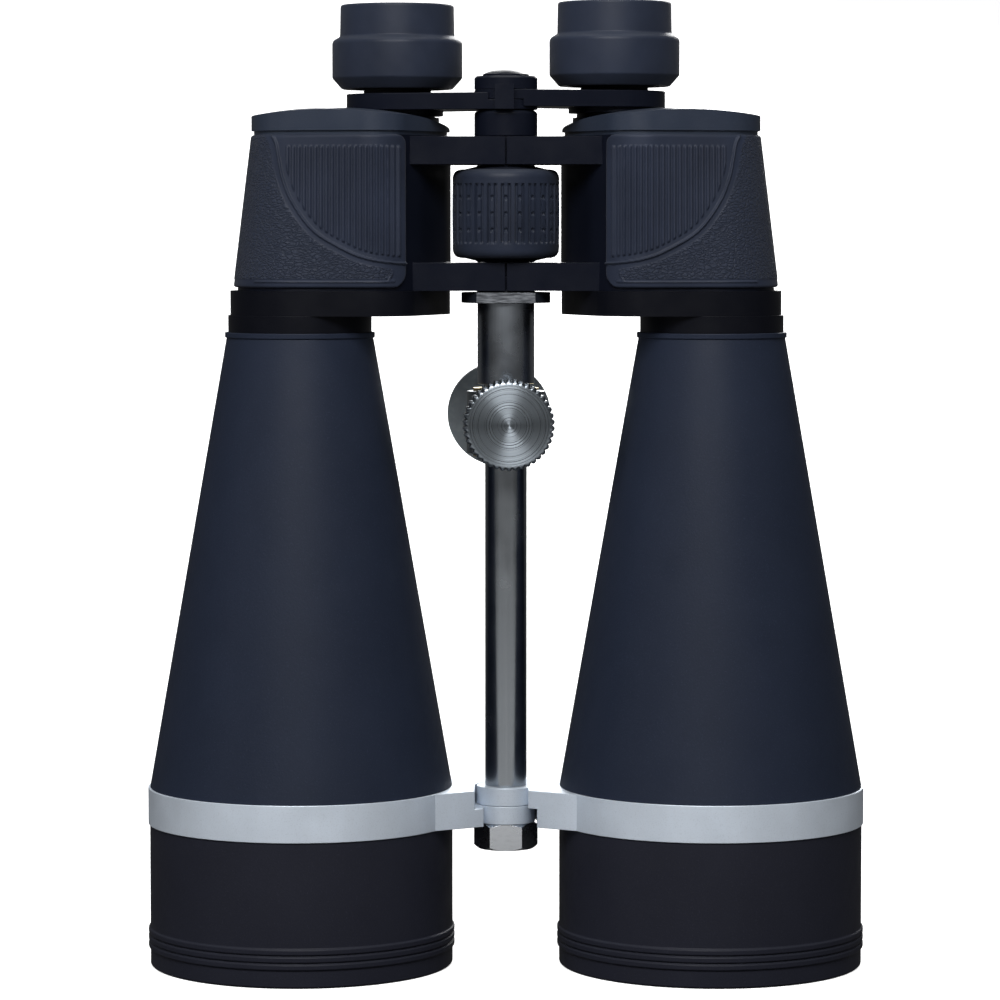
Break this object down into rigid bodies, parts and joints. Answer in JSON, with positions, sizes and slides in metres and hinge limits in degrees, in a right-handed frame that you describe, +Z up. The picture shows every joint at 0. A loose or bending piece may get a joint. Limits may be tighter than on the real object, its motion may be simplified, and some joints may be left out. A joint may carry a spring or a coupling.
{
  "type": "binoculars",
  "caption": "Large Porro-prism binoculars standing on their objectives, with a centre hinge, focus wheel, silver front brace and a sliding tripod adapter on a support rod.",
  "frame": {"origin": "centre of the bounding box on the plane of the objective rims, below the centre hinge", "axes": "+Z up along the barrels towards the eyepieces, +X across from the left to the right barrel as drawn, +Y towards the tripod foot"},
  "size_m": [0.22, 0.1056, 0.2952],
  "materials": {
    "barrel_paint": "fine matt wrinkle paint, near-black blue",
    "housing_paint": "satin black paint",
    "cover_paint": "satin black paint, smooth",
    "armour_rubber": "matt moulded rubber with ribs and leather grain",
    "eyecup_rubber": "matt soft rubber",
    "wheel_rubber": "matt ribbed rubber",
    "coated_glass": "clear glass with a violet coating",
    "prism_glass": "clear crown glass",
    "inner_black": "black anodised",
    "spring_steel": "plain spring steel",
    "brace_metal": "bright satin",
    "rod_metal": "polished bright steel",
    "nut_metal": "dark plated steel",
    "nut_black": "black enamel with bare wrench flats",
    "sleeve_metal": "polished steel",
    "bush_brass": "turned",
    "foot_metal": "turned, dark satin",
    "knob_metal": "turned face with fine concentric rings, knurled rim"
  },
  "bodies": {
    "root": {"support_rod": "rod_metal", "brace_nut": "rod_metal", "hinge_axle": "nut_metal", "hinge_sleeve": "sleeve_metal", "flange_nut": "nut_black", "hinge_collar": "housing_paint"},
    "right_half": {"right_objective_cell": "barrel_paint", "right_crown_lens": "coated_glass", "right_flint_lens": "coated_glass", "right_lens_retainer": "inner_black", "right_objective_tube": "barrel_paint", "right_brace_arm": "brace_metal", "right_prism_housing": "housing_paint", "right_armour": "armour_rubber", "right_lower_plate": "barrel_paint", "right_prism_shelf": "inner_black", "right_upper_prism": "prism_glass", "right_lower_prism": "prism_glass", "right_prism_straps": "spring_steel", "right_top_cover": "cover_paint"},
    "left_half": {"left_objective_cell": "barrel_paint", "left_crown_lens": "coated_glass", "left_flint_lens": "coated_glass", "left_lens_retainer": "inner_black", "left_objective_tube": "barrel_paint", "left_brace_arm": "brace_metal", "left_prism_housing": "housing_paint", "left_armour": "armour_rubber", "left_lower_plate": "barrel_paint", "left_prism_shelf": "inner_black", "left_upper_prism": "prism_glass", "left_lower_prism": "prism_glass", "left_prism_straps": "spring_steel", "left_top_cover": "cover_paint"},
    "focus_wheel": {"focus_wheel_core": "housing_paint", "focus_wheel_grip": "wheel_rubber"},
    "focus_slide": {"focus_spindle": "nut_metal", "drive_pin": "nut_metal", "bridge_cap": "housing_paint"},
    "left_ocular": {"left_eyepiece_arm": "housing_paint", "left_eyepiece_barrel": "inner_black", "left_lens_cell": "inner_black", "left_field_lens": "coated_glass", "left_eye_lens": "coated_glass", "left_head_ring": "inner_black", "left_eyecup": "eyecup_rubber"},
    "right_ocular": {"right_eyepiece_arm": "housing_paint", "right_eyepiece_barrel": "inner_black"},
    "diopter_cell": {"right_lens_cell": "inner_black", "right_field_lens": "coated_glass", "right_eye_lens": "coated_glass"},
    "diopter_head": {"right_head_ring": "inner_black", "right_eyecup": "eyecup_rubber"},
    "carriage_slide": {"carriage_bush": "bush_brass"},
    "carriage_turn": {"carriage_block": "foot_metal", "tripod_post": "foot_metal", "tripod_foot": "foot_metal"},
    "clamp": {"clamp_knob": "knob_metal", "clamp_screw": "knob_metal"}
  },
  "joints": [
    {"name": "right_fold", "type": "hinge", "parent": "root", "child": "right_half", "pos_m": [0, -0.00574, 0], "axis": [0, 0, 1], "range_deg": [0, 16.5]},
    {"name": "left_fold", "type": "hinge", "parent": "root", "child": "left_half", "pos_m": [0, -0.00574, 0], "axis": [0, 0, 1], "range_deg": [-16.5, 0]},
    {"name": "focus_turn", "type": "hinge", "parent": "root", "child": "focus_wheel", "pos_m": [0, -0.00574, 0], "axis": [0, 0, 1], "range_deg": [0, 315]},
    {"name": "focus_lift", "type": "slide", "parent": "root", "child": "focus_slide", "axis": [0, 0, 1], "range_m": [0, 0.00701]},
    {"name": "left_eyepiece_slide", "type": "slide", "parent": "left_half", "child": "left_ocular", "axis": [0, 0, 1], "range_m": [0, 0.00701]},
    {"name": "right_eyepiece_slide", "type": "slide", "parent": "right_half", "child": "right_ocular", "axis": [0, 0, 1], "range_m": [0, 0.00701]},
    {"name": "diopter_rise", "type": "slide", "parent": "right_ocular", "child": "diopter_cell", "axis": [0, 0, 1], "range_m": [-0.00101, 0.00101]},
    {"name": "diopter_twist", "type": "hinge", "parent": "diopter_cell", "child": "diopter_head", "pos_m": [0.0334, 0.00826, 0], "axis": [0, 0, 1], "range_deg": [-60, 60]},
    {"name": "carriage_travel", "type": "slide", "parent": "root", "child": "carriage_slide", "axis": [0, 0, 1], "range_m": [-0.09, 0]},
    {"name": "carriage_swivel", "type": "hinge", "parent": "carriage_slide", "child": "carriage_turn", "pos_m": [0, -0.00574, 0], "axis": [0, 0, 1], "range_deg": [-8, 8]},
    {"name": "clamp_turn", "type": "hinge", "parent": "carriage_turn", "child": "clamp", "pos_m": [0.00097, -0.03002, 0.16688], "axis": [0.0401, -0.9992, 0], "range_deg": [-90, 90]}
  ],
  "couplings": [
    {"joint": "left_fold", "follows": "right_fold", "ratio": -1},
    {"joint": "focus_lift", "follows": "focus_turn", "m_per_rad": 0.0012732},
    {"joint": "left_eyepiece_slide", "follows": "focus_turn", "m_per_rad": 0.0012732},
    {"joint": "right_eyepiece_slide", "follows": "focus_turn", "m_per_rad": 0.0012732},
    {"joint": "diopter_rise", "follows": "diopter_twist", "m_per_rad": 0.00095493}
  ]
}
